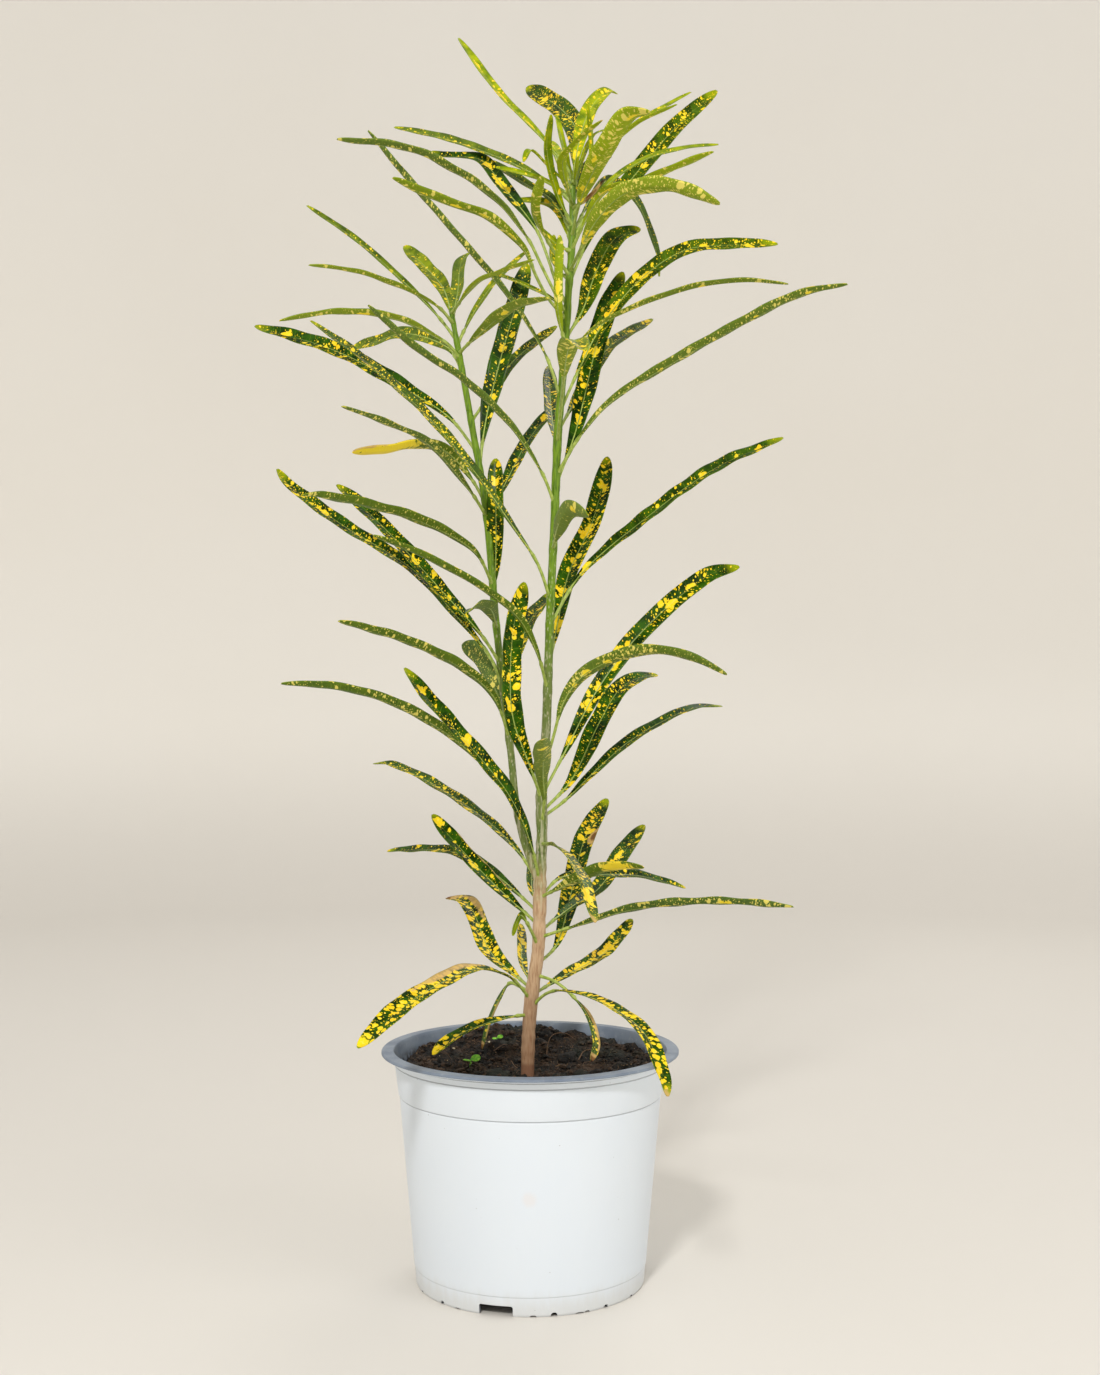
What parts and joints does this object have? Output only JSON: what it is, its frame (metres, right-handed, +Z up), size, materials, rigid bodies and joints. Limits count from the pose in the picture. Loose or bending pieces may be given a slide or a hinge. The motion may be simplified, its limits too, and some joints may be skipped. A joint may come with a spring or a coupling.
{
  "type": "potted croton",
  "caption": "Upright potted foliage plant: slender forked stems with narrow, arching, yellow-speckled leaves, rooted in soil in a tapered plastic nursery pot with a flat rim.",
  "frame": {"origin": "centre of the pot's resting circle, on the ground, under the middle of the whole plant", "axes": "+Z up the plant, -Y towards the viewer of the picture, +X to that viewer's right"},
  "size_m": [0.3383, 0.2788, 0.7337],
  "materials": {
    "pot_plastic": "thin thermoformed plastic, white outside, slate grey inside and on the rim",
    "soil": "moist fibrous potting mix, dark brown",
    "bark": "thin tan bark with leaf scars",
    "leaf": "leathery, satin, dark green with gold specks",
    "young_leaf": "leathery, satin, yellow-green with gold specks",
    "seedling": "soft fresh green"
  },
  "bodies": {
    "root": {"pot": "pot_plastic", "soil": "soil", "trunk": "bark", "main_stem": "leaf", "main_crown": "young_leaf", "side_stem": "leaf", "side_crown": "young_leaf", "seedling": "seedling"}
  },
  "joints": []
}
